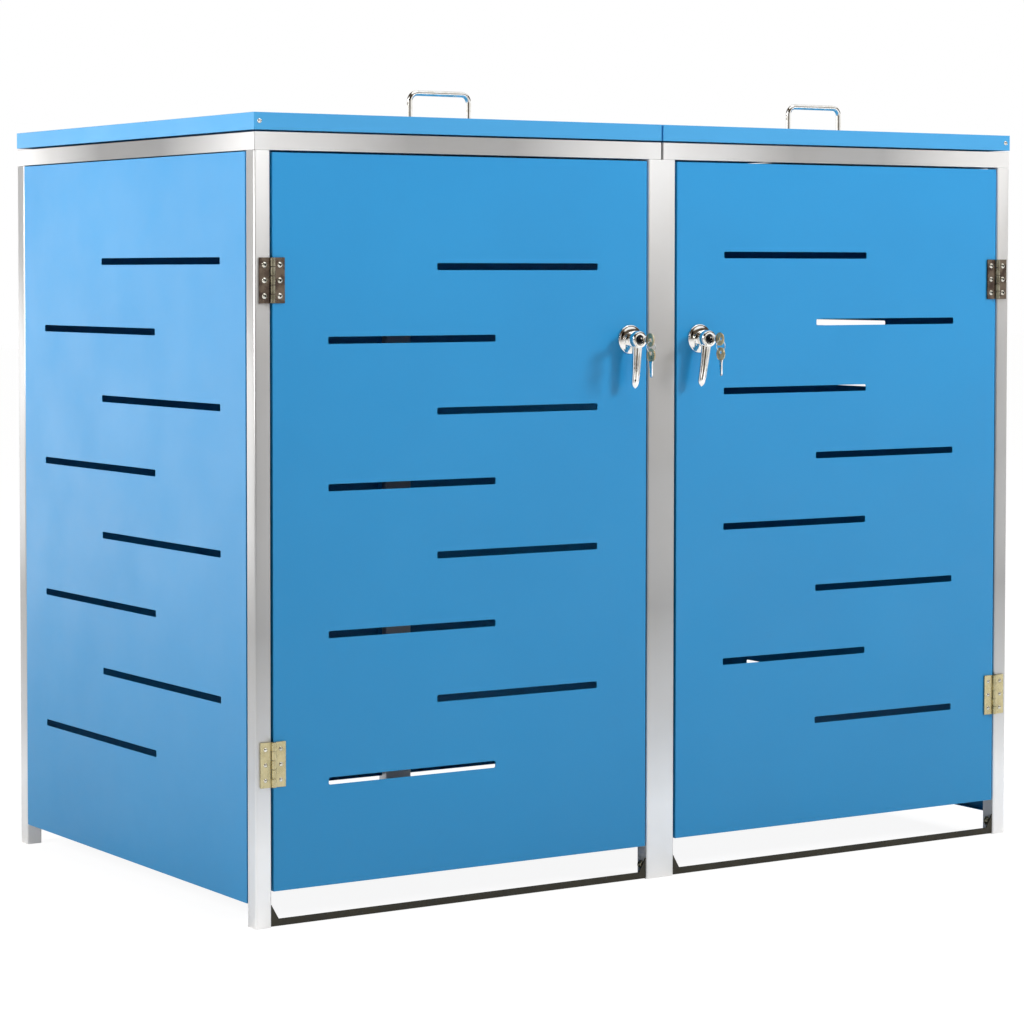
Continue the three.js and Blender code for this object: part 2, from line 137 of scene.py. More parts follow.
class Recipe(Graph):
    """A material under construction, with its shader and the patterns that feed it."""

    def __init__(self, name, **settings):
        self.material = bpy.data.materials.new(name)
        self.material.use_nodes = True
        super().__init__(self.material.node_tree)
        self.shader = self.tree.nodes["Principled BSDF"]
        for socket, value in settings.items():
            self.shader.inputs[socket.replace("_", " ")].default_value = value

    def into(self, source, socket):
        """Feeds one of the shader's sockets."""
        self.link(source, self.shader.inputs[socket])

    def coordinates(self, kind="Object", stretch=(1, 1, 1)):
        """Texture coordinates, scaled along each axis."""
        place = self.node("ShaderNodeTexCoord")
        mapping = self.node("ShaderNodeMapping", Scale=stretch)
        self.link(place.outputs[kind], mapping.inputs["Vector"])
        return mapping.outputs["Vector"]

    def axis_fraction(self, axis, kind="Generated"):
        """How far along the piece, from 0 to 1, or in metres with kind Object."""
        split = self.node("ShaderNodeSeparateXYZ")
        self.link(self.coordinates(kind), split.inputs[0])
        return split.outputs[axis]

    def noise(self, scale, detail=2.0, roughness=0.5, stretch=(1, 1, 1)):
        """Cloudy noise, with about scale times stretch features to the metre."""
        made = self.node("ShaderNodeTexNoise", Scale=scale, Detail=detail, Roughness=roughness)
        self.link(self.coordinates(stretch=stretch), made.inputs["Vector"])
        return made.outputs["Fac"]

    def bump(self, height, strength, distance, under=None):
        """A bumped normal, on top of an earlier one where given."""
        made = self.node("ShaderNodeBump", Strength=strength, Distance=distance)
        self.link(height, made.inputs["Height"])
        if under is not None:
            self.link(under, made.inputs["Normal"])
        return made.outputs["Normal"]


def linear(red, green, blue):
    """A colour given from 0 to 255 on the display, as the shader's linear value."""
    def one(value):
        value /= 255
        return value / 12.92 if value <= 0.04045 else ((value + 0.055) / 1.055) ** 2.4
    return tuple(one(value) for value in (red, green, blue))


# ------------------------------------------------------------------ materials


# How high the painted shade reaches as the paint darkens towards the bottom.
PAINTED_SHADE_HEIGHT = 1.15


def grey(tone):
    return (tone, tone, tone)


def powder_coat(name, top, bottom):
    """Satin powder coat: painted shade that darkens it slowly towards the bottom, faint mottling and
    fine orange peel.
    """
    recipe = Recipe(name, IOR=1.45, Coat_Weight=0.08, Coat_Roughness=0.2)
    height = recipe.axis_fraction("Z", "Object")
    middle = tuple((2 * a + b) / 3 for a, b in zip(bottom, top))
    stops = [(0.0, bottom), (0.45, middle), (1.0, top)]
    # Painted shade: the colour darkens from the top stop to the bottom stop.
    painted_shade_fade = recipe.ramp(recipe.spread(height, 0, 1, 0, PAINTED_SHADE_HEIGHT), stops)
    cloud = recipe.ramp(recipe.noise(4, 3), [(0.3, (0.93, 0.95, 0.96)), (0.7, (1, 1, 1))])
    colour = recipe.mix(1.0, painted_shade_fade, cloud, "MULTIPLY")
    grain = recipe.ramp(recipe.noise(2600, 2), [(0.35, (0.96, 0.97, 0.975)), (0.6, (1, 1, 1))])
    recipe.into(recipe.mix(1.0, colour, grain, "MULTIPLY"), "Base Color")
    handled = recipe.noise(9, 4, 0.6)
    recipe.into(recipe.spread(handled, 0.30, 0.42, 0.3, 0.7), "Roughness")
    peel = recipe.bump(recipe.noise(700, 2, 0.45), 0.06, 0.2 * MM)
    recipe.into(recipe.bump(recipe.noise(5, 1), 0.05, 1.5 * MM, peel), "Normal")
    return recipe.material


def satin_tube(name, axis, stops):
    """Satin stainless tube: a painted reflection along its length, light at the ends and darker in the
    middle, and faint lengthwise lines.
    """
    recipe = Recipe(name, Metallic=0.6)
    fraction = recipe.axis_fraction(axis)
    # The tones along the tube are a painted reflection, not the steel's own colour.
    painted_reflection = recipe.ramp(fraction, [(at, grey(tone)) for at, tone in stops])
    lines = tuple(4 if letter == axis else 2500 for letter in "XYZ")
    streak = recipe.noise(1, 2, 0.5, lines)
    shade = recipe.ramp(streak, [(0.3, grey(0.992)), (0.7, grey(1))])
    stain = recipe.ramp(recipe.noise(8, 3), [(0.35, (0.975, 0.965, 0.95)), (0.65, (1, 1, 1))])
    brushed = recipe.mix(1.0, painted_reflection, shade, "MULTIPLY")
    recipe.into(recipe.mix(1.0, brushed, stain, "MULTIPLY"), "Base Color")
    recipe.into(recipe.spread(streak, 0.33, 0.36, 0.25, 0.75), "Roughness")
    recipe.into(recipe.bump(streak, 0.03, 0.01 * MM), "Normal")
    return recipe.material


def plated_steel(name, light, dark, patch_scale, rough=(0.2, 0.36)):
    """Plated steel: soft cloudy tone, lighter rubbed patches and fine scratches."""
    recipe = Recipe(name, Metallic=0.85)
    cloud = recipe.noise(patch_scale, 3, 0.5)
    tint = recipe.ramp(cloud, [(0.34, dark), (0.62, light)])
    scratches = recipe.noise(1, 3, 0.7, (2400, 2400, 90))
    worn = recipe.ramp(scratches, [(0.38, grey(0.86)), (0.6, grey(1))])
    recipe.into(recipe.mix(1.0, tint, worn, "MULTIPLY"), "Base Color")
    recipe.into(recipe.spread(cloud, *rough, 0.3, 0.7), "Roughness")
    recipe.into(recipe.bump(scratches, 0.15, 0.05 * MM), "Normal")
    return recipe.material


def chrome_plate(name):
    """Bright chrome with a faint warm tint, smudges and hairline scratches."""
    recipe = Recipe(name, Metallic=1.0)
    smudge = recipe.noise(130, 3, 0.5)
    tint = recipe.ramp(smudge, [(0.3, (0.80, 0.77, 0.70)), (0.6, (0.95, 0.94, 0.92))])
    recipe.into(tint, "Base Color")
    recipe.into(recipe.spread(smudge, 0.03, 0.1, 0.35, 0.75), "Roughness")
    ripple = recipe.bump(recipe.noise(170, 1), 0.2, 0.5 * MM)
    recipe.into(recipe.bump(recipe.noise(3000, 2), 0.03, 0.02 * MM, ripple), "Normal")
    return recipe.material


def coated_steel(name, colour):
    """Dark coated steel with dust and rubbed patches."""
    recipe = Recipe(name, Metallic=0.2)
    dust = recipe.noise(30, 4, 0.55)
    dusty = tuple(c * 1.7 + 0.004 for c in colour)
    recipe.into(recipe.ramp(dust, [(0.35, colour), (0.75, dusty)]), "Base Color")
    recipe.into(recipe.spread(dust, 0.42, 0.6, 0.3, 0.7), "Roughness")
    recipe.into(recipe.bump(recipe.noise(900, 3), 0.2, 0.12 * MM), "Normal")
    return recipe.material


def floor_finish(name):
    """A plain pale studio floor that stays bright where the camera sees it."""
    camera_glow = 0.82
    recipe = Recipe(name, Roughness=0.9)
    cloud = recipe.ramp(recipe.noise(1.5, 2), [(0.3, grey(0.93)), (0.7, grey(0.95))])
    recipe.into(cloud, "Base Color")
    path = recipe.node("ShaderNodeLightPath")
    share = recipe.spread(path.outputs["Is Camera Ray"], 0, camera_glow)
    glow = recipe.node("ShaderNodeEmission", Color=(1, 1, 1, 1), Strength=1.12)
    blend = recipe.node("ShaderNodeMixShader")
    recipe.link(share, blend.inputs[0])
    recipe.link(recipe.shader.outputs["BSDF"], blend.inputs[1])
    recipe.link(glow.outputs["Emission"], blend.inputs[2])
    recipe.link(blend.outputs["Shader"], recipe.tree.nodes["Material Output"].inputs["Surface"])
    return recipe.material


# The paint's colours at the top and at the bottom of a sheet; the darker bottom is painted shade.
BLUE_TOP = linear(38, 152, 215)
BLUE_BOTTOM_PAINTED_SHADE = linear(20, 126, 178)
# The lids' lighter blue is painted light on the same paint as the doors.
LID_BLUE_PAINTED_LIGHT = linear(72, 166, 224)
# Painted reflection on the tubes, light at the ends and darker in the middle, from one end of a tube
# to the other: (fraction of its length, tone).
POST_PAINTED_REFLECTION = [
    (0.0, 0.95), (0.1, 0.9), (0.2, 0.6), (0.38, 0.36), (0.58, 0.46), (0.78, 0.72), (1.0, 0.98),
]
RAIL_PAINTED_REFLECTION = [(0.0, 0.98), (0.16, 0.78), (0.36, 0.46), (0.62, 0.46), (0.84, 0.85), (1.0, 0.98)]
# The deep rails' painted reflection is darker throughout.
DEEP_RAIL_PAINTED_REFLECTION = [(0.0, 0.8), (0.16, 0.5), (0.36, 0.22), (0.62, 0.22), (0.84, 0.5), (1.0, 0.8)]
MATERIALS = {
    "paint": powder_coat("blue_powder_coat", BLUE_TOP, BLUE_BOTTOM_PAINTED_SHADE),
    "lid_paint_with_painted_light": powder_coat("blue_lid_coat_painted_light", LID_BLUE_PAINTED_LIGHT, BLUE_BOTTOM_PAINTED_SHADE),
    "post": satin_tube("satin_post", "Z", POST_PAINTED_REFLECTION),
    "rail_x": satin_tube("satin_rail_across", "X", RAIL_PAINTED_REFLECTION),
    "rail_y": satin_tube("satin_rail_deep", "Y", DEEP_RAIL_PAINTED_REFLECTION),
    "bronze": plated_steel("bronze_hinge_plate", (0.20, 0.155, 0.115), (0.075, 0.05, 0.04), 70),
    "olive": plated_steel("olive_hinge_knuckle", (0.42, 0.39, 0.28), (0.2, 0.18, 0.12), 60),
    "brass": plated_steel("brass_hinge_plate", (0.66, 0.58, 0.34), (0.5, 0.44, 0.25), 60),
    "zinc": plated_steel("zinc_plate", (0.64, 0.65, 0.64), (0.53, 0.535, 0.52), 60),
    "rivet": plated_steel("bright_rivet", (0.86, 0.84, 0.76), (0.6, 0.57, 0.47), 90, (0.14, 0.25)),
    "dark": plated_steel("darkened_steel", (0.05, 0.055, 0.06), (0.015, 0.015, 0.018), 90),
    "key_bow": plated_steel("warm_key_bow", (0.78, 0.62, 0.36), (0.5, 0.36, 0.18), 110, (0.24, 0.34)),
    "chrome": chrome_plate("chrome_plate"),
    "base": coated_steel("base_rail_coat", linear(40, 37, 26)),
}


# ------------------------------------------------------------------ mesh helpers


def piece(name, parts, material, body, smooth_angle=40, replaces=()):
    """One object from a list of (vertices, faces) shells, riding on a CAD body."""
    vertices, faces = [], []
    for points, rings in parts:
        start = len(vertices)
        vertices += [tuple(point) for point in points]
        faces += [[start + index for index in ring] for ring in rings]
    mesh = bpy.data.meshes.new(name)
    mesh.from_pydata(vertices, [], faces)
    mesh.validate()
    mesh.shade_smooth()
    mesh.set_sharp_from_angle(angle=math.radians(smooth_angle))
    mesh.materials.append(MATERIALS[material])
    made = bpy.data.objects.new(name, mesh)
    scene.collection.objects.link(made)
    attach(made, body)
    if replaces:
        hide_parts(*replaces)
    return made


def moved(part, place):
    """A (vertices, faces) shell moved by a matrix."""
    points, faces = part
    return [place @ Vector(point) for point in points], faces


def facing(direction, origin=(0, 0, 0)):
    """The matrix that turns +Z to a direction and moves to an origin."""
    turn = Vector(direction).to_track_quat("Z", "Y").to_matrix().to_4x4()
    return Matrix.Translation(origin) @ turn


def rings_to_shell(rings):
    """A closed shell through rings of equal count, capped at both ends."""
    count = len(rings[0])
    points = [point for ring in rings for point in ring]
    faces = []
    for row in range(len(rings) - 1):
        for i in range(count):
            j = (i + 1) % count
            a, b = row * count, (row + 1) * count
            faces.append([a + i, a + j, b + j, b + i])
    faces.append(list(range(count))[::-1])
    faces.append([len(points) - count + i for i in range(count)])
    return points, faces


def turned(profile, sides):
    """A closed shell turned about Z from (radius, z) points."""
    rings = [
        [
            (radius * math.cos(2 * math.pi * i / sides), radius * math.sin(2 * math.pi * i / sides), z)
            for i in range(sides)
        ]
        for radius, z in profile
    ]
    return rings_to_shell(rings)


def arc(centre, radius, start, end, steps):
    """Points on an arc in a plane, with angles in degrees."""
    return [
        (
            centre[0] + radius * math.cos(math.radians(start + (end - start) * i / steps)),
            centre[1] + radius * math.sin(math.radians(start + (end - start) * i / steps)),
        )
        for i in range(steps + 1)
    ]


def tube(points, radius, sides):
    """A round rod along points, by carrying one section along the path."""
    points = [Vector(point) for point in points]
    count = len(points)

    def heading(i):
        return (points[min(i + 1, count - 1)] - points[max(i - 1, 0)]).normalized()

    side = heading(0).orthogonal().normalized()
    rings = []
    for i, point in enumerate(points):
        along = heading(i)
        side = (side - along * side.dot(along)).normalized()
        other = along.cross(side)
        angles = (2 * math.pi * k / sides for k in range(sides))
        rings.append([point + radius * (side * math.cos(a) + other * math.sin(a)) for a in angles])
    return rings_to_shell(rings)


def prism(outline, thickness, bevel):
    """A plate from a closed outline in X and Y, centred on z = 0, with chamfered rims."""
    count = len(outline)

    def inset(amount):
        """The outline drawn inwards. Very sharp corners are held back."""
        points = []
        for i in range(count):
            before, here, after = (Vector(outline[(i + k) % count]) for k in (-1, 0, 1))
            normals = [Vector((d.y, -d.x)).normalized() for d in (here - before, after - here)]
            out = normals[0] + normals[1]
            length = max(out.dot(out) / 2, 0.35)
            points.append(here - out * (amount / length))
        return points

    half = thickness / 2
    levels = [(-half, bevel), (-half + bevel, 0), (half - bevel, 0), (half, bevel)]
    rings = [[(p[0], p[1], z) for p in inset(amount)] for z, amount in levels]
    return rings_to_shell(rings)


def rounded_bar(low, high, radius):
    """An upright bar between two corners, with rounded long edges and eased ends."""
    ease = 0.4 * MM
    corners = (
        (high.x - radius, high.y - radius, 0),
        (low.x + radius, high.y - radius, 90),
        (low.x + radius, low.y + radius, 180),
        (high.x - radius, low.y + radius, 270),
    )
    levels = [(low.z, ease), (low.z + ease, 0), (high.z - ease, 0), (high.z, ease)]
    rings = [
        [
            (x, y, z)
            for at_x, at_y, start in corners
            for x, y in arc((at_x, at_y), radius - inset, start, start + 90, 6)
        ]
        for z, inset in levels
    ]
    return rings_to_shell(rings)


# ------------------------------------------------------------------ fasteners


def screw_head(radius, height):
    """A domed head on z = 0 with a cross recess, from a polar height field."""
    sides, rows = 32, 8
    slot_half, slot_reach, depth = 0.13 * radius, 0.58 * radius, 0.55 * height
    rings = []
    for row in range(rows + 1):
        fraction = 1 - row / (rows + 0.5)
        ring = []
        for i in range(sides):
            angle = 2 * math.pi * i / sides
            x, y = fraction * radius * math.cos(angle), fraction * radius * math.sin(angle)
            z = height * (1 - fraction ** 2.4)
            if min(abs(x), abs(y)) < slot_half and max(abs(x), abs(y)) < slot_reach:
                z -= depth
            ring.append((x, y, z))
        rings.append(ring)
    rings.insert(0, [(x, y, -SUNK) for x, y, _ in rings[0]])
    return rings_to_shell(rings)


def low_dome(radius, last_angle, steps):
    """A shallow dome's profile, from under its rim up to an angle on its crown."""
    return [(radius, -SUNK), *arc((0, -radius * 0.62), radius * 1.18, 32, last_angle, steps)]


def rivets(name, spots, direction, body, material, radius=3 * MM):
    """One piece of several low domed rivets."""
    profile = low_dome(radius, 88, 7)
    heads = [moved(turned(profile, 24), facing(direction, spot)) for spot in spots]
    return piece(name, heads, material, body)


def eyelets(name, spots, direction, body):
    """Bright hollow rivets, each with a dark disc at its centre as painted shade in the hole."""
    radius = 4.3 * MM
    hole, floor_z, plug_low, plug_high = radius * 0.35, radius * 0.1, radius * 0.05, radius * 0.2
    profile = [*low_dome(radius, 70, 6), (radius * 0.36, floor_z), (AXIS_HOLE, floor_z)]
    # A dark disc in each hole, painted shade for the hole's depth.
    plug = [(AXIS_HOLE, plug_low), (hole, plug_low), (hole, plug_high), (AXIS_HOLE, plug_high)]
    rims = [moved(turned(profile, 28), facing(direction, spot)) for spot in spots]
    painted_shade_discs = [moved(turned(plug, 20), facing(direction, spot)) for spot in spots]
    piece(name, rims, "rivet", body)
    piece(f"{name}_holes", painted_shade_discs, "dark", body)


# ------------------------------------------------------------------ CAD nodes that stay


def soften(node, width, segments):
    """Rounds a CAD node's edges with modifiers."""
    weld = node.modifiers.new("weld", "WELD")
    weld.merge_threshold = 0.01 * MM
    bevel = node.modifiers.new("soft_edges", "BEVEL")
    bevel.width = width
    bevel.segments = segments
    bevel.limit_method = "ANGLE"
    bevel.angle_limit = math.radians(25)
    bevel.harden_normals = True
    bevel.use_clamp_overlap = True


def finish_node(name, material, edge, segments=2):
    """Gives a CAD node its material and soft edges."""
    node = NODES[name]
    node.data.materials.clear()
    node.data.materials.append(MATERIALS[material])
    soften(node, edge, segments)


def frame_posts():
    """Each post as a square tube with rounded long edges."""
    for row in ("front", "rear"):
        for column in ("left", "centre", "right"):
            node = f"{row}_{column}_post"
            bar = rounded_bar(*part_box(node), 3 * MM)
            piece(f"{node}_tube", [bar], "post", "frame", 60, replaces=[node])


def finish_frame():
    """Satin rails above and dark rails at the ground."""
    for side in SIDES:
        for place in ("front", "rear"):
            finish_node(f"{side}_top_rail_{place}", "rail_x", 0.7 * MM, segments=3)
        for place in ("outer", "inner"):
            finish_node(f"{side}_top_rail_{place}", "rail_y", 0.7 * MM, segments=3)
        finish_node(f"{side}_base_rail", "base", 0.4 * MM)


def finish_trays():
    """Painted sheets, with the lids a lighter blue that is painted light."""
    for side in SIDES:
        for sheet in ("side_panel", "back_panel", "door"):
            finish_node(f"{side}_{sheet}", "paint", 0.5 * MM, segments=3)
        finish_node(f"{side}_lid", "lid_paint_with_painted_light", 0.5 * MM, segments=3)


def finish_hinges():
    """Door hinges, bronze above and brass below, and the zinc lid hinges."""
    for side in SIDES:
        for level, plate, knuckle in (("upper", "bronze", "olive"), ("lower", "brass", "dark")):
            for leaf in ("frame_leaf", "door_leaf"):
                finish_node(f"{side}_{level}_hinge_{leaf}", plate, 0.35 * MM)
            finish_node(f"{side}_{level}_hinge_pin", knuckle, 0.2 * MM)
        for leaf in ("frame_leaf", "lid_leaf", "pin"):
            finish_node(f"{side}_lid_hinge_{leaf}", "zinc", 0.3 * MM)


def finish_lock_parts():
    """The lock parts that stay as CAD nodes."""
    for side in SIDES:
        for small in ("lock_nut", "lock_cam"):
            finish_node(f"{side}_{small}", "zinc", 0.3 * MM)
        finish_node(f"{side}_lock_plug", "dark", 0.2 * MM)


# ------------------------------------------------------------------ screws and bolts


def hinge_rivets():
    """Three rivets in each leaf: large eyelets above, small domes below."""
    for side, sign in SIDES.items():
        leaves = (("frame_leaf", "frame", sign), ("door_leaf", f"{side}_door", -sign))
        for level in ("upper", "lower"):
            pin_low, pin_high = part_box(f"{side}_{level}_hinge_pin")
            pin_x = (pin_low.x + pin_high.x) / 2
            for leaf, body, direction in leaves:
                low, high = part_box(f"{side}_{level}_hinge_{leaf}")
                edge_x = high.x if direction > 0 else low.x
                x = pin_x + (edge_x - pin_x) * 0.6
                middle, reach = (low.z + high.z) / 2, (high.z - low.z) * 0.34
                front = high.y - DOOR_HINGE_LEAF
                spots = [(x, front, middle + reach * step) for step in (-1, 0, 1)]
                name = f"{side}_{level}_hinge_{leaf}_rivets"
                if level == "upper":
                    eyelets(name, spots, OUTWARDS, body)
                else:
                    rivets(name, spots, OUTWARDS, body, "rivet", 3.2 * MM)


def knuckle_sleeves():
    """A rounded barrel over each of the five knuckles of the door hinges."""
    radius, ease, gap, knuckles = 3.58 * MM, 0.5 * MM, 0.25 * MM, 5
    for side in SIDES:
        for level, material in (("upper", "olive"), ("lower", "brass")):
            low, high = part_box(f"{side}_{level}_hinge_pin")
            centre, length = (low + high) / 2, (high.z - low.z) / knuckles
            reach = length / 2 - gap
            barrel = turned([
                (AXIS_HOLE, -reach), (radius - ease, -reach), (radius, ease - reach),
                (radius, reach - ease), (radius - ease, reach), (AXIS_HOLE, reach),
            ], 28)
            for body, steps in (("frame", (-2, 0, 2)), (f"{side}_door", (-1, 1))):
                spots = [centre + Vector((0, 0, length * step)) for step in steps]
                barrels = [moved(barrel, Matrix.Translation(spot)) for spot in spots]
                name = f"{side}_{level}_{'frame' if body == 'frame' else 'door'}_knuckles"
                piece(name, barrels, material, body)


def lid_screws():
    """A domed screw near each outer front corner of the lids."""
    from_side, from_top = 9 * MM, 12 * MM
    for side, sign in SIDES.items():
        low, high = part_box(f"{side}_lid")
        x = (high.x if sign > 0 else low.x) - sign * from_side
        spot = (x, low.y, high.z - from_top)
        head = moved(screw_head(3.6 * MM, 2.2 * MM), facing(OUTWARDS, spot))
        piece(f"{side}_lid_corner_screw", [head], "chrome", f"{side}_lid")


def base_bolts():
    """Domed bolts that hold the base rails' tabs to the posts."""
    from_front, above_ground = 11 * MM, 19 * MM
    washer_radius, washer_top = 7 * MM, 1.1 * MM
    washer = turned([(washer_radius, 0), (washer_radius, washer_top), (0.2 * MM, washer_top)], 32)
    dome = [(radius, z + washer_top) for radius, z in arc((0, -1.2 * MM), 6.2 * MM, 22, 88, 8)]
    head = turned([(5.7 * MM, washer_top - SUNK), *dome], 32)
    for side in SIDES:
        low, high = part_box(f"{side}_base_rail")
        for end, x, direction in (("west", low.x, 1), ("east", high.x, -1)):
            place = facing((direction, 0, 0), (x, low.y + from_front, low.z + above_ground))
            parts = [moved(washer, place), moved(head, place)]
            piece(f"{side}_base_bolt_{end}", parts, "olive", "frame")


def lid_hinge_rivets():
    """Rivets along both leaves of each lid hinge."""
    count, from_end, from_edge = 8, 25 * MM, 6 * MM
    for side in SIDES:
        for leaf, body in (("frame_leaf", "frame"), ("lid_leaf", f"{side}_lid")):
            low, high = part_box(f"{side}_lid_hinge_{leaf}")
            z = low.z + from_edge if leaf == "frame_leaf" else high.z - from_edge
            y = low.y + LID_HINGE_LEAF
            step = (high.x - low.x - 2 * from_end) / (count - 1)
            spots = [(low.x + from_end + step * i, y, z) for i in range(count)]
            rivets(f"{side}_lid_hinge_{leaf}_rivets", spots, BACKWARDS, body, "zinc")


# ------------------------------------------------------------------ lid handles


def lid_handle(side):
    """A bent chrome rod with a turned collar at each foot."""
    low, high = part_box(f"{side}_lid_handle")
    radius, bend = 4 * MM, 12 * MM
    y = (low.y + high.y) / 2
    left, right = low.x + radius, high.x - radius
    foot, top = low.z - 0.3 * MM, high.z - radius
    outline = [(left, foot)]
    outline += arc((left + bend, top - bend), bend, 180, 90, 14)
    outline += arc((right - bend, top - bend), bend, 90, 0, 14)
    outline += [(right, foot)]
    rod = tube([(x, y, z) for x, z in outline], radius, 28)
    collar = [
        (6.4 * MM, 0), (6.4 * MM, 1.2 * MM), *arc((5.4 * MM, 1.2 * MM), 1 * MM, 0, 90, 4),
        (4.3 * MM, 2.2 * MM), (0.2 * MM, 2.3 * MM),
    ]
    feet = [moved(turned(collar, 40), Matrix.Translation((x, y, foot))) for x in (left, right)]
    handle = f"{side}_lid_handle"
    piece(f"{side}_lid_bow", [rod, *feet], "chrome", f"{side}_lid", replaces=[handle])


# ------------------------------------------------------------------ locks


def lock_origin(side):
    """The point where the lock's spindle crosses the door's face."""
    return Vector(JOINTS[f"{side}_lever_turn"]["pos_m"])


def scaled(profile):
    """A (radius, z) profile given in millimetres, in metres."""
    return [(radius * MM, z * MM) for radius, z in profile]


def lock_rose(side):
    """The rose, a stepped dome with a neck, and its threaded barrel behind the door."""
    place = facing(OUTWARDS, lock_origin(side))
    front = turned(scaled([
        (6.4, 0.3), (21.5, 0.3), (21.5, 1.4), (20.9, 2.2), (19.8, 2.6), (19.0, 2.7), (18.2, 3.1),
        (16.2, 4.0), (13.6, 4.7), (11.9, 5.0), (11.2, 5.3), (10.6, 5.9), (9.4, 6.4), (9.0, 7.0),
        (9.0, 8.6), (8.6, 9.0), (6.4, 9.0),
    ]), 64)
    threads = []
    for turn in range(12):
        z = -1.6 * turn - 1.2
        threads += [(8.9, z), (8.3, z - 0.8)]
    barrel = turned(scaled([(6.4, 0.2), (8.9, 0.2), *threads, (6.4, -21.8)]), 48)
    barrel = (barrel[0], [face[::-1] for face in barrel[1]])
    parts = [moved(front, place), moved(barrel, place)]
    housing = f"{side}_lock_housing"
    piece(f"{side}_lock_rose", parts, "chrome", f"{side}_door", replaces=[housing])


def arm_section(half_width, half_depth, groove):
    """The arm's section in X and Y: a crowned bar with two grooves along its front."""
    sides = 56
    points = []
    for i in range(sides):
        angle = 2 * math.pi * i / sides
        c, s = math.cos(angle), math.sin(angle)
        x = half_width * math.copysign(abs(c) ** 0.8, c)
        y = half_depth * math.copysign(abs(s) ** 0.8, s)
        if s < 0:
            dips = sum(math.exp(-(((c - at) / 0.17) ** 2)) for at in (-0.36, 0.36))
            y += groove * dips
        points.append((x, y))
    return points


def lever_arm(origin, lean):
    """The hanging arm: tapered, slightly bowed, leaning a little, with a rounded tip."""
    length, rows, tip_start, groove_depth = 70 * MM, 36, 0.86, 1.0 * MM
    rings = []
    for row in range(rows + 1):
        t = row / rows
        close = 1.0
        if t > tip_start:
            close = math.sqrt(max(0.012, 1 - ((t - tip_start) / (1 - tip_start)) ** 2))
        half_width = (6.0 + 2.6 * (1 - t) ** 1.4) * MM * close
        half_depth = (3.6 + 0.9 * (1 - t)) * MM * (0.35 + 0.65 * close)
        groove = groove_depth if t < tip_start else groove_depth * close * 0.2
        y = -18.8 * MM - 1.0 * MM * math.sin(math.pi * t)
        z = -length * t - 2 * MM
        rings.append([(x, y + dy, z) for x, dy in arm_section(half_width, half_depth, groove)])
    place = Matrix.Translation(origin) @ Matrix.Rotation(math.radians(lean), 4, "Y")
    return moved(rings_to_shell([ring[::-1] for ring in rings]), place)


def lock_lever(side):
    """The lever: a short turned head with a groove, the arm and the spindle."""
    origin = lock_origin(side)
    place = facing(OUTWARDS, origin)
    head = turned(scaled([
        (0.1, 9.4), (10.6, 9.4), (12.2, 10.2), (12.9, 11.6), (13.0, 15.4), (12.3, 16.2), (12.3, 17.0),
        (13.0, 17.8), (13.0, 22.6), (12.7, 24.2), (11.9, 25.5), (10.6, 26.2), (8.6, 26.3), (7.6, 26.0),
        (6.9, 25.3), (6.35, 24.6), (6.35, 14.2), (0.1, 14.0),
    ]), 64)
    spindle = turned(scaled([(0.1, -31.0), (5.4, -31.0), (6.0, -30.4), (6.0, 9.8), (0.1, 9.8)]), 40)
    parts = [moved(head, place), moved(spindle, place), lever_arm(origin, LEVER_LEAN[side])]
    name = f"{side}_lever"
    piece(name, parts, "chrome", name, 30, replaces=[f"{side}_lock_lever"])


# ------------------------------------------------------------------ keys


def key_bow():
    """A flat round bow with an off-centre hole and eased rims, in X and Y about its centre."""
    sides = 44
    half, ease = 1.0 * MM, 0.35 * MM
    rim, full = KEY_BOW_RADIUS - 0.5 * MM, KEY_BOW_RADIUS
    hole, hole_shift = 3.1 * MM, -2.5 * MM
    section = [(rim, -half), (full, ease - half), (full, half - ease), (rim, half)]
    points, faces = [], []
    for i in range(sides):
        angle = 2 * math.pi * i / sides
        c, s = math.cos(angle), math.sin(angle)
        points += [(outer * c, outer * s, z) for outer, z in section]
        points += [(hole * c + hole_shift, hole * s, z) for z in (half, -half)]
    for i in range(sides):
        a, b = 6 * i, 6 * ((i + 1) % sides)
        faces += [[a + k, b + k, b + (k + 1) % 6, a + (k + 1) % 6] for k in range(6)]
    return points, faces


def key_blade():
    """The blade with its shoulders and cuts, in X and Y in millimetres, running along +X."""
    lower = [(8.6, -4.0), (11.2, -4.0), (12.2, -3.3), (31.6, -3.3), (32.8, -2.0), (32.8, -0.4)]
    cuts = [
        (31.4, 1.2), (30.2, 1.2), (29.2, 2.4), (28.4, 1.0), (26.8, 1.0), (25.8, 2.6), (24.6, 2.0),
        (23.4, 2.0), (22.4, 3.0), (21.4, 1.4), (20.2, 1.4), (19.0, 2.9), (17.4, 2.9), (16.4, 3.3),
    ]
    upper = [(12.2, 3.3), (11.2, 4.0), (8.6, 4.0)]
    return prism([(x * MM, y * MM) for x, y in lower + cuts + upper], 2 * MM, 0.25 * MM)


def key(side, node, body, centre, along):
    """A key on edge, its bow at a centre and its blade along a direction."""
    thick = Vector((1, 0, 0))
    across = thick.cross(along)
    turn = Matrix((along, across, thick)).transposed().to_4x4()
    place = Matrix.Translation(centre) @ turn
    name = f"{side}_{node}"
    piece(f"{name}_bow", [moved(key_bow(), place)], "key_bow", body, replaces=[name])
    piece(f"{name}_blade", [moved(key_blade(), place)], "chrome", body)


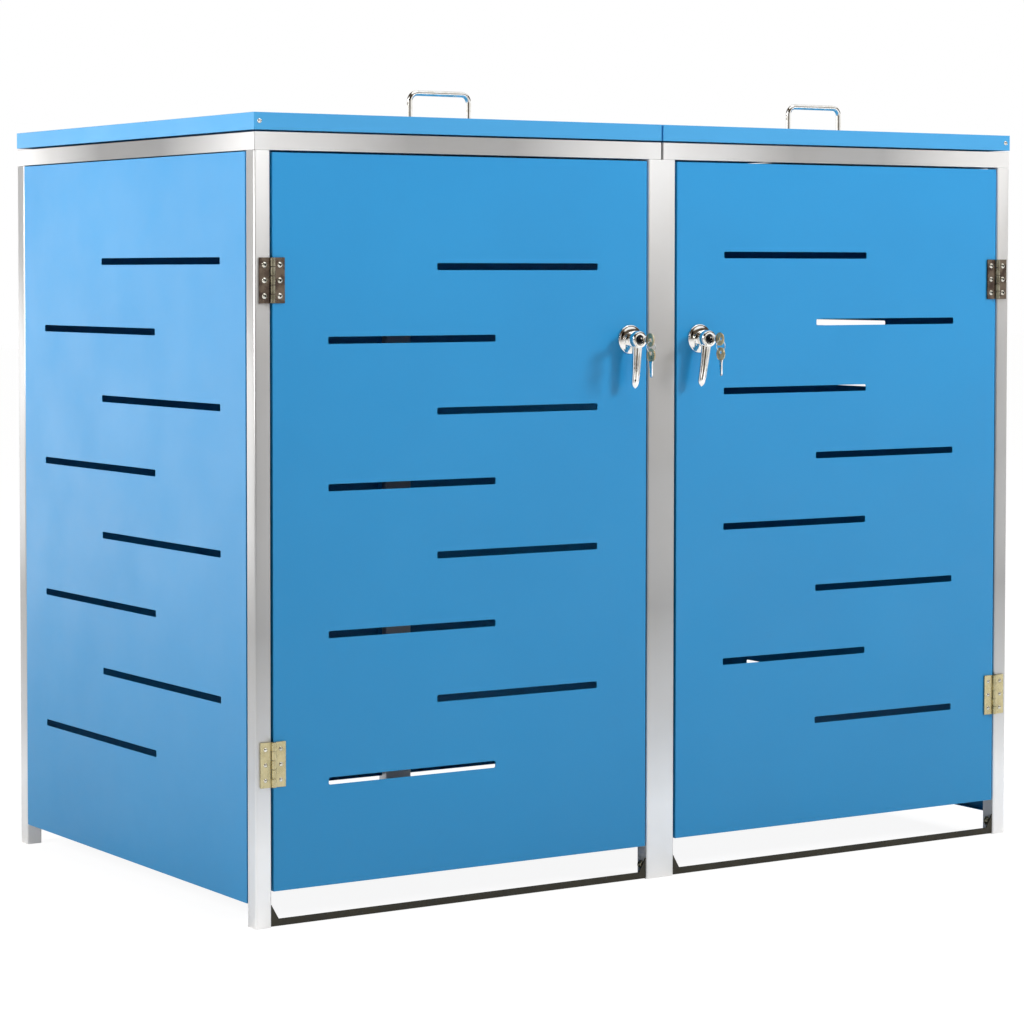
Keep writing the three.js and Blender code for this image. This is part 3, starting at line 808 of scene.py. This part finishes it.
def split_ring(side):
    """Two turns of wire through the key's bow."""
    steps, pitch, wire_radius, start = 120, 0.8 * MM, 0.5 * MM, 40
    ring = f"{side}_key_ring"
    low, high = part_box(ring)
    centre = (low + high) / 2
    radius = (high.x - low.x) / 2 - 0.9 * MM
    points = []
    for i in range(steps + 1):
        angle = math.radians(2 * 360 * i / steps + start)
        rise = (i / steps - 0.5) * pitch
        points.append(centre + Vector((radius * math.cos(angle), rise, radius * math.sin(angle))))
    wire = tube(points, wire_radius, 12)
    piece(f"{side}_split_ring", [wire], "chrome", ring, replaces=[ring])


def lock_keys(side):
    """The key in the lock, and the spare that hangs from it on a split ring."""
    low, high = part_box(f"{side}_key")
    centre = Vector(((low.x + high.x) / 2, low.y + KEY_BOW_RADIUS, (low.z + high.z) / 2))
    key(side, "key", f"{side}_key", centre, Vector((0, 1, 0)))
    low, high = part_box(f"{side}_spare_key")
    centre = Vector(((low.x + high.x) / 2, (low.y + high.y) / 2, high.z - KEY_BOW_RADIUS))
    key(side, "spare_key", f"{side}_key_ring", centre, Vector((0, 0, -1)))
    split_ring(side)


# ------------------------------------------------------------------ stage


def floor():
    """A wide plain floor, kept out of the model."""
    reach = 30
    mesh = bpy.data.meshes.new("floor")
    corners = [(-reach, -reach, 0), (reach, -reach, 0), (reach, reach, 0), (-reach, reach, 0)]
    mesh.from_pydata(corners, [], [[0, 1, 2, 3]])
    mesh.materials.append(floor_finish("pale_floor"))
    made = bpy.data.objects.new("floor", mesh)
    scene.collection.objects.link(made)


def area_light(name, place, target, size, power, mirrored=True):
    """A light panel aimed at a target. One that isn't mirrored leaves no highlight in the steel."""
    data = bpy.data.lights.new(name, "AREA")
    data.shape = "RECTANGLE"
    data.size, data.size_y = size
    data.energy = power
    lamp = bpy.data.objects.new(name, data)
    scene.collection.objects.link(lamp)
    lamp.location = place
    lamp.rotation_euler = (Vector(target) - Vector(place)).to_track_quat("-Z", "Y").to_euler()
    lamp.visible_camera = False
    lamp.visible_glossy = mirrored


def lights():
    """A strong key from the right, two panels on the left and a weak one overhead."""
    area_light("key", (6.2, -5.6, 3.8), (0, -0.3, 0.7), (1.55, 1.55), 500, mirrored=False)
    area_light("left_softbox", (-2.5, 3.4, 0.75), (-0.7, 0, 0.5), (2.6, 1.5), 24)
    area_light("left_fill", (-4.5, 0.2, 2.4), (-0.7, 0, 0.5), (1.6, 1.6), 125)
    area_light("overhead", (0, -1.2, 4.6), (0, 0, 0), (3, 3), 40)


def world():
    """A bright room with a dark band overhead and a dark sector, and white behind the object."""
    made = bpy.data.worlds.new("studio")
    scene.world = made
    made.use_nodes = True
    graph = Graph(made.node_tree)
    direction = graph.node("ShaderNodeSeparateXYZ")
    graph.link(graph.node("ShaderNodeTexCoord").outputs["Generated"], direction.inputs[0])

    def tone(axis, stops):
        """A ramp along one axis of the view direction, with positions from -1 to 1."""
        share = graph.spread(direction.outputs[axis], 0, 1, -1)
        return graph.ramp(share, [((position + 1) / 2, colour) for position, colour in stops])

    white, dark = grey(0.98), (0.09, 0.07, 0.05)
    upward = tone("Z", [(0.12, white), (0.2, dark), (0.42, dark), (0.5, white)])
    sideways = tone("X", [(-0.8, white), (-0.72, dark), (0.0, dark), (0.16, grey(1))])
    room = graph.mix(1, upward, sideways, "MULTIPLY")
    from_camera = graph.node("ShaderNodeLightPath").outputs["Is Camera Ray"]
    seen = graph.mix(from_camera, room, grey(1))
    graph.link(seen, made.node_tree.nodes["Background"].inputs["Color"])


CAMERA_PLACE = (-2.7132, -4.0406, 0.9054)
CAMERA_YAW = 32.254  # to the right of +Y
CAMERA_PITCH = -2.376
CAMERA_LENS = 107.76  # in millimetres, on a 36 mm sensor
CAMERA_SHIFT = (0.0703, -0.1094)  # in frame widths


def camera():
    """In front of the shed, off its left corner and lower than its lids."""
    data = bpy.data.cameras.new("camera")
    data.sensor_width = 36
    data.lens = CAMERA_LENS
    data.shift_x, data.shift_y = CAMERA_SHIFT
    made = bpy.data.objects.new("camera", data)
    scene.collection.objects.link(made)
    made.location = CAMERA_PLACE
    made.rotation_euler = (math.radians(90 + CAMERA_PITCH), 0, math.radians(-CAMERA_YAW))
    scene.camera = made


# ------------------------------------------------------------------ the scene


scene.view_settings.view_transform = "Standard"
frame_posts()
finish_frame()
finish_trays()
finish_hinges()
finish_lock_parts()
hinge_rivets()
knuckle_sleeves()
lid_screws()
base_bolts()
lid_hinge_rivets()
for side in SIDES:
    lid_handle(side)
    lock_rose(side)
    lock_lever(side)
    lock_keys(side)
floor()
lights()
world()
camera()
